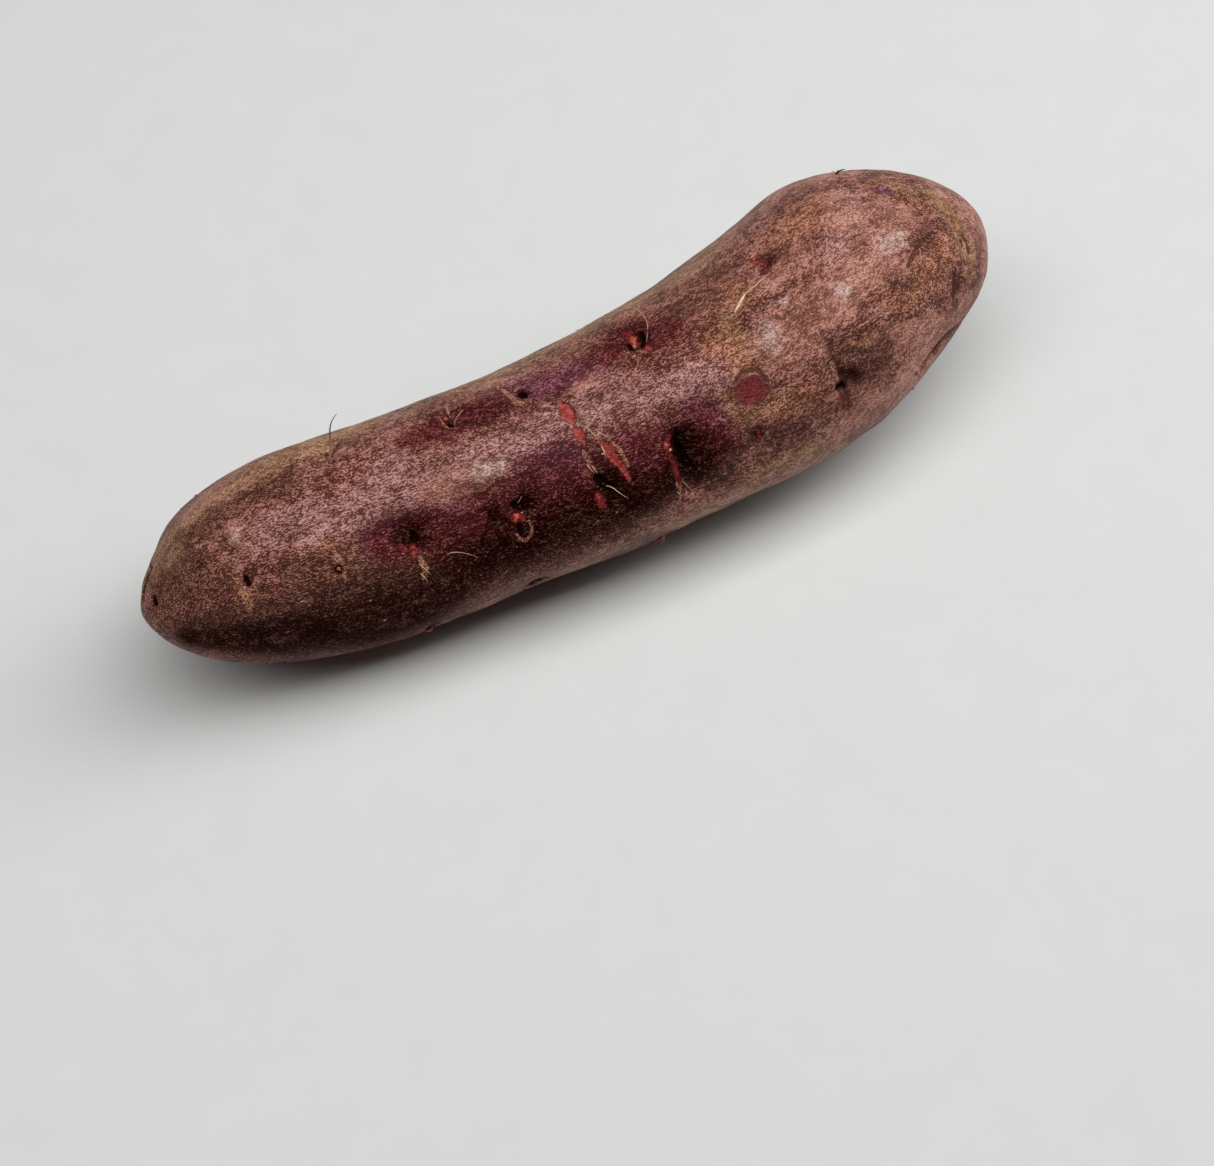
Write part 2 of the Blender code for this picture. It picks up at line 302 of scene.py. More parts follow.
# Greenish khaki skin.  The two long strokes along the top edge are also a painted sheen
OLIVE_AND_SHEEN = (
    ((-86, 116, 12), (-78, 127, 15), (-66, 131, 15), (-52, 135, 14), (-40, 140, 12)),
    ((-28, 140, 12), (-14, 140, 12), (0, 142, 12), (14, 142, 12), (28, 138, 12), (36, 136, 11)),
    ((-83.2, 104, 5.5), (-83.7, 90, 5.5)),
    ((62.9, 48.7, 5.5), (66.5, 50, 4.5)),
    ((32, 112, 6), (33, 96, 6)),
    ((29, 86, 5), (28.5, 74, 5), (27, 63, 4)),
    ((22, 54, 3), (23.5, 43, 4), (29, 38, 4), (36, 36, 5)),
    ((80, 96, 5), (82, 74, 5.5), (82, 50, 5), (81, 30, 4)),
    ((74, 106, 4), (75.5, 98, 4)),
    ((24, 8, 5), (34, 6, 6), (42, 4, 6)),
)
TAN = (
    ((24, 80, 6), (27, 70, 6), (29, 62, 4)),
    ((26, 104, 6), (32, 104, 6), (33, 93, 5)),
    ((28.9, 36, 6), (34, 34, 6), (39, 36, 6)),
    ((61, 49, 6), (68, 50, 6), (76, 57, 7)),
    ((52, 104, 7), (46, 108, 7), (58, 112, 7)),
    ((39.6, 109, 2.8), (41, 102, 2.8)),
    ((74.8, 101, 3), (75.5, 91, 3.6), (76, 84, 2.5)),
    ((-57, 62, 4), (-57, 50, 7)),
    ((-74.6, 56, 4), (-74.8, 46, 5.5)),
    ((-42.2, 36, 3), (-42.4, 30, 3)),
    ((-2, 112, 7), (4, 114, 7)),
)
# Dark brown skin, and painted shade on the lower front, beside the holes and pits, and along creases
BROWN_AND_SHADE = (
    ((-87, 84, 8), (-82, 76, 13), (-78, 66, 11)),
    ((-84, 40, 9), (-72, 36, 9), (-60, 38, 8), (-50, 38, 9), (-42, 38, 9)),
    ((-79, 102, 6), (-70, 105, 7), (-58, 106, 5)),
    ((-66, 57, 5), (-52, 55, 5)),
    ((-20, 18, 9), (-8, 16, 8), (4, 17, 8), (18, 20, 8)),
    ((18, 44, 9), (22, 34, 10), (30, 26, 9), (38, 24, 7)),
    ((44, 40, 8), (48, 34, 9), (54, 27, 8)),
    ((20, 108, 6), (29, 104, 7)),
    ((45.9, 51, 2.6), (46.6, 42, 4.5), (50, 36, 6), (56, 34, 6.5)),
    ((62, 55, 3), (66, 53, 3.5)),
    ((77, 42, 2.4), (76, 30, 3), (75.5, 22, 2.4)),
    ((77, -3, 2.4), (72.6, 5, 2.8), (66.5, 4, 2.6)),
    ((30, 113, 5), (38, 112, 4)),
    ((43.5, 103.5, 3), (46, 100, 3)),
)
# A smooth khaki band low on the front: khaki skin, and a painted reflection of the lit floor
RIM_AND_REFLECTION = (
    ((-44, -26, 4), (-25.2, -18, 8), (-9, -13, 9), (10.1, -9, 10), (34.8, -6, 11), (46.4, -2, 11)),
    ((46.4, -2, 11), (59, 0, 11), (70.9, 4, 9)),
)
# Patches drawn at random for the sides away from the view: field, number, widths, and angles round the root
HIDDEN_PATCHES = (
    ("brown_and_shade", 14, (6, 13), (150, 340)),
    ("shade", 5, (4, 8), (200, 345)),
    ("pale_film_and_light", 9, (6, 14), (140, 250)),
    ("violet_and_highlight", 10, (5, 11), (140, 240)),
    ("magenta", 8, (3, 6), (150, 340)),
    ("red", 10, (5, 11), (160, 345)),
    ("olive_and_sheen", 12, (3, 6), (150, 345)),
    ("tan", 8, (3, 6), (150, 345)),
    ("rim_and_reflection", 7, (4, 8), (250, 340)),
    ("frost_and_highlight", 4, (4, 6), (140, 240)),
)
PATCH_PLACES = (-80, 78)
# Two small torn places, their cork, and two creases on the far side
HIDDEN_STROKES = {
    "wound": (((19, 203, 0.8), (21, 207, 2.4), (22.6, 213, 1.6)), ((-33, 188, 3.2), (-31.5, 190, 2.6))),
    "cork": (((23.4, 204, 1.2), (24.6, 210, 1.4)),
             ((-35.6, 186, 1.2), (-33, 182.5, 1.8), (-30.4, 185, 1.2))),
    "crease": (((52, 232, 0.7), (55, 222, 0.9), (54, 212, 0.6)),
               ((-60, 246, 0.6), (-57, 238, 0.8), (-57.5, 228, 0.5))),
}
# How far below a hidden eye its cork lies, in degrees times the eye's size
CORK_DROP = 130.0
# The share of the hidden eyes that have each of these
SCUFF_CHANCE, MAGENTA_CHANCE, BUD_CHANCE = 0.45, 0.6, 0.5
# Hair roots this near to the underside lie low, so that they stay over the floor
LOW_HAIR, LOW_HAIR_SPREAD = 0.5, 50

SHARP_FIELDS = ("wound", "scuff", "cork", "soil_and_hole_shade", "crease")
SOFT_FIELDS = ("shade", "pale_film_and_light", "violet_and_highlight", "magenta", "red", "olive_and_sheen", "tan", "brown_and_shade", "rim_and_reflection", "frost_and_highlight")
FIELDS = SHARP_FIELDS + SOFT_FIELDS

# How far out a stroke reaches, in its widths
STROKE_REACH = 1.6

# Fine lumps of the skin: spacing, height and seed, and the corners of their lattice each way
LUMPS = ((6.5, 0.17, 1), (2.6, 0.08, 2), (1.3, 0.035, 3))
LATTICE = 48
# How far each sharp field raises the skin, or sinks it, and the blunt point of the tail
FIELD_RISES = (("wound", -0.3), ("scuff", -0.25), ("cork", 0.2), ("soil_and_hole_shade", -0.7), ("crease", -0.3))
TAIL_POINT = Mark(-91.4, 70, 8, 7, 0.7, 0)

# A hair root: points as place along, angle round and height over the skin, then its radius, and how dark it
# is at its tip and its base
Hair = namedtuple("Hair", "points radius dark base", defaults=[0.0])
HAIRS = (
    Hair(((-49.2, 115.8, -0.5), (-48.6, 112.7, 1.8), (-48, 113.2, 4), (-48.8, 113.2, 6.2),
          (-46.2, 112.2, 8.4)), 0.26, 0.9),
    Hair(((-26.1, 102.4, -0.5), (-25.9, 101.4, 1.7), (-23.6, 102.9, 1.8)), 0.15, 0),
    Hair(((-13.2, 108.6, -0.3), (-11.4, 107, 1)), 0.15, 0),
    Hair(((13.4, 104.5, -1.8), (14.4, 102.4, 1), (15.9, 103.4, 2.2), (17.1, 108.6, 3.6),
          (15.6, 118.9, 3), (12.4, 131.8, 0.3)), 0.11, 0.2),
    Hair(((-21.8, 45.8, -0.8), (-21.6, 49.4, 1), (-20.8, 51.4, 1.6)), 0.16, 0.3),
    Hair(((-5, 38.5, -0.3), (-4, 39.6, 1.4), (-3.4, 34.9, 1.6), (-1.9, 30.3, 0.6)), 0.13, 0),
    Hair(((66.2, 131, -0.4), (66.9, 130, 0.9), (68.2, 129, 0.9)), 0.26, 1, 1),
    Hair(((66.4, 130.6, -0.3), (66.6, 129, 0.8), (66.4, 128, 1.1)), 0.2, 1, 1),
    Hair(((-3.4, 60.3, -0.1), (-3.2, 56.7, 0.5), (-3.6, 53.3, -0.1)), 0.16, 0),
    Hair(((-37.2, 36, -0.1), (-35.8, 38, 0.7), (-34.6, 34, 0.5), (-33.4, 33, 0.4),
          (-31.8, 26, -0.1)), 0.075, 0.35),
    Hair(((-37.4, 40.3, -0.1), (-36.8, 43, 0.7)), 0.09, 0.3),
    Hair(((-4.5, 71.3, -0.12), (-3.9, 67.7, 0.12), (-3.4, 62.7, -0.05)), 0.11, 0.1),
    Hair(((-3.5, 70, -0.12), (-2.2, 64.7, 0.12), (-0.6, 59.7, -0.12)), 0.1, 0.1),
    Hair(((34.9, 93, -0.1), (38.6, 94.3, 0.1), (42.7, 95, -0.15)), 0.18, 0),
    Hair(((-6.4, 53.5, -0.2), (-6, 50, 0.3), (-5.6, 46, -0.2)), 0.17, 0.2),
    Hair(((-7.2, 55, -0.2), (-6.9, 51, 0.3), (-6.3, 48.5, -0.2)), 0.13, 0.3),
    Hair(((8.2, 19, -0.4), (8.4, 15.5, 0.8), (9.4, 14, 0.2)), 0.1, 0.5),
    Hair(((10.2, 19, -0.6), (10.9, 15.5, 0.8), (11.4, 13, 0.1)), 0.1, 0.5),
    Hair(((-42.8, 37, -0.1), (-42, 34, 0.8), (-41.4, 29, 0.1)), 0.1, 0.1),
    Hair(((-43.2, 32, -0.1), (-42.3, 28, 0.8), (-42.6, 25, 0)), 0.1, 0.1),
    Hair(((-87.6, 124, -0.3), (-87.6, 125, 0.6), (-87, 126, 0.9)), 0.24, 1, 1),
    Hair(((-88.3, 121, -0.3), (-88.6, 122, 0.7), (-88.9, 124, 0.7)), 0.3, 1, 1),
    Hair(((-88.9, 116, -0.3), (-89.3, 117, 0.6), (-89, 121, 0.5)), 0.32, 1, 1),
    Hair(((-89.6, 112, -0.3), (-90, 114, 0.5), (-90.3, 120, 0.5)), 0.26, 1, 1),
    Hair(((-90.2, 105, -0.3), (-90.6, 108, 0.4), (-90.5, 115, 0.3)), 0.22, 1, 1),
)
SPLINTER = ((31, 87.4, -0.05), (33, 90.2, 0.45), (34.9, 93, 0.1))
SPLINTER_RADIUS = 0.34
# Steps along a hair root and sides round it, rings and columns of a bud and of a crumb.  Then how lumpy
# buds and crumbs are, and the spacing of their lumps
HAIR_GRID = (16, 6)
BUD_GRID = (9, 14)
CRUMB_GRID = (4, 7)
BALL_ROUGHNESS, BALL_WAVES = 0.5, 0.55
# Crumbs of soil: number at each eye, their spread in degrees, and how far from the underside's middle line
# they start
EYE_CRUMBS, CRUMB_SPREAD, CRUMB_FREE = 7, 170 / 22 * 0.8, 40
# More crumbs in two grooves: number in each, and its place along and round with the spread of both
HEAP_CRUMBS = 14
CRUMB_HEAPS = ((11, 1.1, 31, 10), (-5.6, 1.0, 45, 7))

# A bud of flesh in an eye: place, height over the skin, half sizes along, round and outwards, and its tone,
# which is tan at 1, red at 0 and a darker red below 0
Bud = namedtuple("Bud", "along around height length width rise pale")
BUDS = (
    Bud(8.3, 46.8, 0.08, 0.5, 0.6, 0.4, 0),
    Bud(8.9, 43.8, 0, 0.32, 0.36, 0.28, 0.6),
    Bud(-22.9, 41.2, -0.08, 0.7, 0.55, 0.42, 0.1),
    Bud(-23.4, 39.4, -0.12, 0.4, 0.45, 0.35, -0.3),
    Bud(12.1, 109.6, -0.5, 1, 1.8, 0.9, 0.3),
    Bud(11.7, 103.4, -0.1, 0.3, 0.75, 0.3, 1),
    Bud(-42.6, 44.6, -0.1, 0.6, 0.6, 0.4, -0.45),
    Bud(-42.9, 42.4, -0.12, 0.5, 0.45, 0.35, -0.2),
    Bud(-44.5, 48.4, -0.15, 0.5, 0.5, 0.35, -0.7),
    Bud(-44.1, 46.6, -0.15, 0.35, 0.4, 0.3, -0.3),
    Bud(-56.9, 49.3, 0, 0.34, 0.34, 0.28, 0.7),
    Bud(-26.9, 108, 0, 0.35, 0.7, 0.3, 0.3),
)


def at_stations(column, along):
    """Smooth curve through one column of the stations: cubic pieces that share a slope at each station,
    which is the mean of the slopes to its neighbours, weighted towards the nearer one."""
    x, y = STATIONS[:, ALONG], STATIONS[:, column]
    gaps = np.diff(x)
    rises = np.diff(y) / gaps
    slopes = np.empty(len(x))
    slopes[0], slopes[-1] = rises[0], rises[-1]
    slopes[1:-1] = (rises[:-1] * gaps[1:] + rises[1:] * gaps[:-1]) / (gaps[:-1] + gaps[1:])
    i = np.clip(np.searchsorted(x, along) - 1, 0, len(x) - 2)
    t = (along - x[i]) / gaps[i]
    start = (1 + 2 * t) * (1 - t) ** 2 * y[i] + t * (1 - t) ** 2 * gaps[i] * slopes[i]
    end = t**2 * (3 - 2 * t) * y[i + 1] + t**2 * (t - 1) * gaps[i] * slopes[i + 1]
    return start + end


def closing(along):
    """Share of the full section at each place: 1 along the body, falling to 0 at the two ends."""

    def rounded(distance, length):
        left = 1 - np.clip(distance / length, 0, 1)
        return np.maximum(1 - left**CAP_POWER, 0) ** (1 / CAP_POWER)

    x = STATIONS[:, ALONG]
    return rounded(along - x[0], TAIL_CAP) * rounded(x[-1] - along, CROWN_CAP)


def middle_line(along):
    """Middle of the body's section at each place along."""
    height = at_stations(UNDERSIDE, along) + at_stations(HALF_HEIGHT, along)
    return np.stack([along, at_stations(SIDEWAYS, along), height], axis=-1)


def plain_skin(along, around):
    """Points of the body without its relief: an ellipse at each place along, whose middle wanders."""
    share = closing(along)
    away = np.stack(
        [
            0 * along,
            -at_stations(HALF_WIDTH, along) * share * np.cos(around),
            at_stations(HALF_HEIGHT, along) * share * np.sin(around),
        ],
        axis=-1,
    )
    return middle_line(along) + away


def unit(vectors):
    """Vectors divided by their lengths."""
    return vectors / np.maximum(np.linalg.norm(vectors, axis=-1, keepdims=True), 1e-9)


def frame_at(along, around):
    """Unit vectors along the skin, round it and outwards.  At the two poles outwards is along X."""
    low, high = STATIONS[0, ALONG], STATIONS[-1, ALONG]
    before = plain_skin(np.maximum(along - STEP, low), around)
    after = plain_skin(np.minimum(along + STEP, high), around)
    turn = np.radians(STEP)
    lengthwise = unit(after - before)
    sideways = unit(plain_skin(along, around + turn) - plain_skin(along, around - turn))
    outward = unit(np.cross(lengthwise, sideways))
    pole = closing(along) < 1e-6
    outward[pole] = np.stack([np.sign(along[pole]), 0 * along[pole], 0 * along[pole]], axis=-1)
    return lengthwise, sideways, outward


def mark_place(points, mark):
    """Where points lie in a mark's own plane, in half lengths and half widths, and whether they're near."""
    along, around = np.array([mark.along]), np.radians([mark.around])
    lengthwise, sideways, outward = (vector[0] for vector in frame_at(along, around))
    away = points - plain_skin(along, around)[0]
    turn = np.radians(mark.turn)
    a, b = away @ lengthwise, away @ sideways
    u = (a * np.cos(turn) + b * np.sin(turn)) / (mark.length / 2)
    v = (b * np.cos(turn) - a * np.sin(turn)) / (mark.width / 2)
    return u, v, away @ outward > -REACH


def mark_height(points, mark):
    """Bell-shaped rise: its height times e to the power of minus the squared distance from its middle."""
    u, v, near = mark_place(points, mark)
    return mark.rise * np.exp(-(u**2 + v**2)) * near


def run_distance(points, corners, width):
    """Distance from the straight runs between corners, in half widths.  The width changes evenly between
    corners."""
    nearest = np.full(len(points), np.inf)
    for i in range(len(corners) - 1):
        run = corners[i + 1] - corners[i]
        share = np.clip((points - corners[i]) @ run / max(run @ run, 1e-9), 0, 1)
        half = (width[i] + share * (width[i + 1] - width[i])) / 2
        away = np.linalg.norm(points - corners[i] - share[:, None] * run, axis=1)
        nearest = np.minimum(nearest, away / half)
    return nearest


def hidden_eyes():
    """Eyes in rows along the length, each a little off its place, none where the root touches the table."""
    draw = np.random.default_rng(SEED)
    eyes = []
    for row in HIDDEN_ROWS:
        for k in range(ROW_COUNT):
            along = ROW_START + ROW_STEP * k + draw.uniform(-ALONG_SPREAD, ALONG_SPREAD)
            around = row + draw.uniform(-AROUND_SPREAD, AROUND_SPREAD)
            size, depth = draw.uniform(*EYE_SIZES), draw.uniform(*EYE_DEPTHS)
            under = abs(around - UNDERNEATH) < UNDERNEATH_SPREAD
            if under and min(abs(along - place) for place in REST_PLACES) < REST_CLEAR:
                continue
            eyes.append(Mark(along, around, size, size, -depth, 0.0))
    return eyes


def relief(points, along, around):
    """Height of the skin over the plain body: slow waves, broad forms, eyes and grooves, added up."""
    x = STATIONS[:, ALONG]
    share = (along - x[0]) / (x[-1] - x[0])
    height = np.zeros(len(points))
    for along_waves, around_waves, start, rise in WAVES:
        phase = 2 * np.pi * along_waves * share + around_waves * around + np.radians(start)
        height += rise * np.sin(phase) * closing(along)
    for mark in (*FORMS, *EYES, *hidden_eyes()):
        height += mark_height(points, mark)
    for groove in GROOVES:
        groove_along, groove_around = np.array(groove.points).T
        corners = plain_skin(groove_along, np.radians(groove_around))
        distance = run_distance(points, corners, [groove.width] * len(corners))
        height -= groove.depth * np.exp(-(distance**2))
    return height


def even_places(shares):
    """Places along X for the rings, so that they are evenly spaced along the skin and not along X."""
    x = np.linspace(STATIONS[0, ALONG], STATIONS[-1, ALONG], 4000)
    radius = at_stations(HALF_WIDTH, x) * closing(x)
    length = np.concatenate([[0.0], np.cumsum(np.hypot(np.diff(x), np.diff(radius)))])
    return np.interp(shares * length[-1], length, x)


def skin_points(along, around):
    """Points of the CAD form: the plain body moved outwards by the relief, and kept over the floor."""
    points = plain_skin(along, around)
    points += frame_at(along, around)[2] * relief(points, along, around)[:, None]
    points[:, 2] = np.maximum(points[:, 2], 0)
    return points


def wrapped_faces(rings, columns):
    """Faces of rings and columns that close on themselves, with a fan at each pole.  The poles are the
    first and last point, and ring r holds points 1 + r * columns and on."""
    r, c = np.meshgrid(np.arange(rings - 1), np.arange(columns), indexing="ij")
    here, next_column = 1 + r * columns + c, 1 + r * columns + (c + 1) % columns
    quads = np.stack([here, here + columns, next_column + columns, next_column], axis=-1).reshape(-1, 4)
    c = np.arange(columns)
    last = 1 + (rings - 1) * columns
    tail = np.stack([0 * c, 1 + c, 1 + (c + 1) % columns], axis=-1)
    crown = np.stack([0 * c + last + columns, last + (c + 1) % columns, last + c], axis=-1)
    return quads.tolist() + tail.tolist() + crown.tolist()


def copied_faces(faces, count, points):
    """The faces of this many copies of a mesh that has this many points."""
    return [[corner + i * points for corner in face] for i in range(count) for face in faces]


def new_piece(name, points, faces, material):
    """Mesh object at the origin, from points in millimetres."""
    mesh = bpy.data.meshes.new(name)
    above_floor = points * MM
    above_floor[:, 2] = np.maximum(above_floor[:, 2], 0)
    mesh.from_pydata(above_floor.tolist(), [], faces)
    mesh.materials.append(material)
    mesh.shade_smooth()
    piece = bpy.data.objects.new(name, mesh)
    bpy.context.scene.collection.objects.link(piece)
    return piece


def set_field(piece, name, values):
    """Puts a number or a vector for each point into a named attribute."""
    kind = "FLOAT_VECTOR" if values.ndim == 2 else "FLOAT"
    field = piece.data.attributes.new(name, kind, "POINT")
    field.data.foreach_set("vector" if values.ndim == 2 else "value", values.astype(np.float32).ravel())


def stroke_distance(points, stroke):
    """Distance from a stroke in half widths, endless for points that are far from it."""
    along, around, width = np.array(stroke if len(stroke) > 1 else stroke * 2).T
    corners = plain_skin(along, np.radians(around))
    distance = np.full(len(points), np.inf)
    reach = STROKE_REACH * width.max()
    above, below = points > corners.min(axis=0) - reach, points < corners.max(axis=0) + reach
    close = above.all(axis=1) & below.all(axis=1)
    distance[close] = run_distance(points[close], corners, width)
    return distance


def hidden_marks():
    """Strokes, hair roots and buds for the sides away from the view, drawn round each hidden eye."""
    draw = np.random.default_rng(SEED + 1)
    strokes = {name: list(HIDDEN_STROKES.get(name, ())) for name in FIELDS}
    hairs, buds = [], []
    for eye in hidden_eyes():
        place, turn, size = eye.along, eye.around, eye.length
        # Near black in the hole, and painted shade round the pit
        strokes["soil_and_hole_shade"].append(((place, turn + 2, 0.32 * size), (place + 0.4, turn - 2, 0.2 * size)))
        strokes["shade"].append(((place, turn, size * draw.uniform(0.8, 1.3)),))
        low = turn - CORK_DROP / size * draw.uniform(0.13, 0.2)
        cork = (
            (place - 0.3 * size, turn - 3, draw.uniform(0.5, 1.0)),
            (place - 0.1 * size, low, draw.uniform(0.8, 1.6)),
            (place + 0.25 * size, low + 2, draw.uniform(0.5, 1.0)),
        )
        strokes["cork"].append(cork)
        if draw.uniform() < SCUFF_CHANCE:
            upper = (place - 0.2 * size, turn - 4, draw.uniform(0.8, 1.8))
            strokes["scuff"].append((upper, (place, turn - 8, 0.8)))
        if draw.uniform() < MAGENTA_CHANCE:
            beside = (place + draw.uniform(-7, 7), turn + draw.uniform(5, 12), draw.uniform(3, 6))
            strokes["magenta"].append((beside, (place, turn, 4)))
        if draw.uniform() < BUD_CHANCE:
            length, width = draw.uniform(0.5, 0.9), draw.uniform(0.5, 0.9)
            buds.append(Bud(place - 0.2 * size, turn - 5, 0, length, width, 0.45, draw.uniform(-0.6, 0.9)))
        for _ in range(draw.integers(0, 3)):
            a, r = draw.uniform(-2.5, 2.5), draw.uniform(-9, 9)
            top = draw.uniform(0.8, 2.0)
            top = min(top, LOW_HAIR) if abs(turn - UNDERNEATH) < LOW_HAIR_SPREAD else top
            bend, end = (place + 0.3 * a, turn + 0.3 * r, top), (place + a, turn + r, 0.7 * top)
            path = ((place, turn, -0.6), bend, end)
            hairs.append(Hair(path, draw.uniform(0.12, 0.18), draw.uniform(0, 0.5)))
    for name, count, sizes, sides in HIDDEN_PATCHES:
        for _ in range(count):
            along, around = draw.uniform(*PATCH_PLACES), draw.uniform(*sides)
            step, turn = draw.uniform(3, 9), draw.uniform(-14, 14)
            width = draw.uniform(*sizes)
            far_end = (along + step, around + turn, width * draw.uniform(0.7, 1.1))
            strokes[name].append(((along, around, width), far_end))
    return strokes, hairs, buds


def lumps(place, size, seed):
    """Smooth heights between -1 and 1: random corners of a lattice with this spacing, in smooth steps."""
    lattice = np.random.default_rng(seed).uniform(-1, 1, (LATTICE, LATTICE, LATTICE))
    cell = place / size
    low = np.floor(cell).astype(int)
    share = cell - low
    share = share * share * (3 - 2 * share)
    height = np.zeros(len(place))
    for corner in itertools.product((0, 1), repeat=3):
        i, j, k = ((low + corner) % LATTICE).T
        height += np.prod(np.where(corner, share, 1 - share), axis=1) * lattice[i, j, k]
    return height


def straight_place(points, along):
    """Points as if the root were straight, so that the grain runs along it."""
    straight = points - middle_line(along)
    straight[:, 0] = along
    return straight


def fine_relief(plain, along, fields):
    """What the skin has over the CAD form: fine lumps, sunk wounds, holes and creases, and raised cork."""
    height = np.zeros(len(plain))
    straight = straight_place(plain, along)
    for size, rise, seed in LUMPS:
        height += rise * lumps(straight, size, seed)
    for name, rise in FIELD_RISES:
        share = np.clip((fields[name] - 0.3) / 0.4, 0, 1)
        height += rise * share * share * (3 - 2 * share)
    return height + mark_height(plain, TAIL_POINT)


def fields_at(plain, strokes):
    """Each field is 1 on its strokes' middle lines.  A sharp one is 1 less half the distance, so 0.5 at the
    edges, and a soft one is e to the power of minus the squared distance."""
    fields = {}
    for name in FIELDS:
        nearest = np.min([stroke_distance(plain, stroke) for stroke in strokes[name]], axis=0)
        fields[name] = np.maximum(1 - nearest / 2, 0) if name in SHARP_FIELDS else np.exp(-(nearest**2))
    return fields


def skin_places(along, around, strokes):
    """Points of the finished skin, the unit vectors there, the plain points and the fields."""
    plain = plain_skin(along, around)
    vectors = frame_at(along, around)
    fields = fields_at(plain, strokes)
    height = relief(plain, along, around) + fine_relief(plain, along, fields)
    points = plain + vectors[2] * height[:, None]
    return points, vectors, plain, fields


def make_skin(material, strokes):
    """The skin's grid, and the shift that puts its box's middle where the CAD part's is."""
    shares = np.arange(1, RINGS + 1) / (RINGS + 1)
    turns = 2 * np.pi * np.arange(COLUMNS) / COLUMNS
    turns = turns - GATHER * np.sin(turns - np.radians(FINE_SIDE))
    ring_shares, ring_around = np.meshgrid(shares, turns, indexing="ij")
    shares = np.concatenate([[0.0], ring_shares.ravel(), [1.0]])
    around = np.concatenate([[0.0], ring_around.ravel(), [0.0]])
    along = even_places(shares)
    points, _, plain, fields = skin_places(along, around, strokes)
    cad = skin_points(along, around)
    low, high = (np.array(corner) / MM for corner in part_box(NODE))
    shift = (low + high) / 2 - (cad.min(axis=0) + cad.max(axis=0)) / 2
    shift[2] = 0
    points[:, 2] = np.maximum(points[:, 2], 0)
    piece = new_piece("skin", points + shift, wrapped_faces(RINGS, COLUMNS), material)
    set_field(piece, "straight", straight_place(plain, along))
    for name, values in fields.items():
        set_field(piece, name, values)
    return piece, shift


def smooth_path(points, shares):
    """Smooth curve from the first point to the last, drawn towards those between: each point times its
    binomial weight, added up."""
    points = np.array(points, dtype=float)
    last = len(points) - 1
    weights = [math.comb(last, i) * shares**i * (1 - shares) ** (last - i) for i in range(last + 1)]
    return np.array(weights).T @ points


def on_skin(places, strokes):
    """Points at (along, around, height over the skin), and the unit vectors there."""
    along, around = places[:, 0], np.radians(places[:, 1])
    points, vectors, _, _ = skin_places(along, around, strokes)
    return points + vectors[2] * places[:, 2:], vectors


def tubes(paths, radii, sides):
    """Round tubes along paths: rings of points at right angles to each path, and a fan at both ends.
    A ring's point is the path's point plus the radius times (cos(angle) * side + sin(angle) * up)."""
    count, steps = radii.shape
    ahead = unit(np.gradient(paths, axis=1))
    side = unit(np.cross(ahead, np.array([0.31, 0.52, 0.79])))
    up = np.cross(ahead, side)
    angle = 2 * np.pi * np.arange(sides) / sides
    ring = np.cos(angle)[:, None] * side[:, :, None, :] + np.sin(angle)[:, None] * up[:, :, None, :]
    rings = paths[:, :, None, :] + radii[:, :, None, None] * ring
    points = np.concatenate([paths[:, :1], rings.reshape(count, -1, 3), paths[:, -1:]], axis=1)
    faces = [face[::-1] for face in wrapped_faces(steps, sides)]
    return points.reshape(-1, 3), copied_faces(faces, count, points.shape[1])


def make_hairs(material, hairs, strokes, shift):
    """Hair roots: tubes whose radius falls from the root to a fifth at the tip."""
    steps, sides = HAIR_GRID
    share = np.linspace(0, 1, steps)
    places = np.concatenate([smooth_path(hair.points, share) for hair in hairs])
    paths = on_skin(places, strokes)[0].reshape(len(hairs), steps, 3)
    radii = np.array([[hair.radius] for hair in hairs]) * (1 - 0.8 * share**1.3)
    base, tip = (np.array([[getattr(hair, end)] for hair in hairs]) for end in ("base", "dark"))
    fade = base * (1 - share) + tip * share
    points, faces = tubes(paths, radii, sides)
    piece = new_piece("hair_roots", points + shift, faces, material)
    rings = np.repeat(fade, sides, axis=1)
    set_field(piece, "dark", np.concatenate([fade[:, :1], rings, fade[:, -1:]], axis=1).ravel())
    return piece


def make_splinter(material, strokes, shift):
    """A sliver: a tube whose radius is the root of sin(pi * share), so both ends are points."""
    share = np.linspace(0, 1, 20)
    path, _ = on_skin(smooth_path(SPLINTER, share), strokes)
    radius = SPLINTER_RADIUS * (0.08 + 0.92 * np.sqrt(np.sin(np.pi * np.clip(share, 0.001, 0.999))))
    points, faces = tubes(path[None], radius[None], 8)
    return new_piece("splinter", points + shift, faces, material)


def lumpy_balls(centres, sizes, vectors, grid, seed):
    """Closed lumpy balls: the unit ball's point times each half size, times one plus lumps that differ
    from ball to ball."""
    rings, columns = grid
    polar = np.pi * np.arange(1, rings + 1) / (rings + 1)
    polar, turn = np.meshgrid(polar, 2 * np.pi * np.arange(columns) / columns, indexing="ij")
    ball = np.stack([np.sin(polar) * np.cos(turn), np.sin(polar) * np.sin(turn), np.cos(polar)], axis=-1)
    ball = np.concatenate([[[0, 0, 1]], ball.reshape(-1, 3), [[0, 0, -1]]])
    draw = np.random.default_rng(seed)
    start = draw.uniform(0, 100, (len(centres), 1, 3))
    waves = lumps((ball[None] + start).reshape(-1, 3), BALL_WAVES, seed).reshape(len(centres), -1, 1)
    local = ball[None] * (1 + BALL_ROUGHNESS * waves)
    points = np.repeat(centres[:, None], len(ball), axis=1)
    for axis, (size, vector) in enumerate(zip(sizes, vectors)):
        points += local[..., axis : axis + 1] * (size[:, None, None] * vector[:, None])
    faces = copied_faces(wrapped_faces(rings, columns), len(centres), len(ball))
    return points.reshape(-1, 3), faces


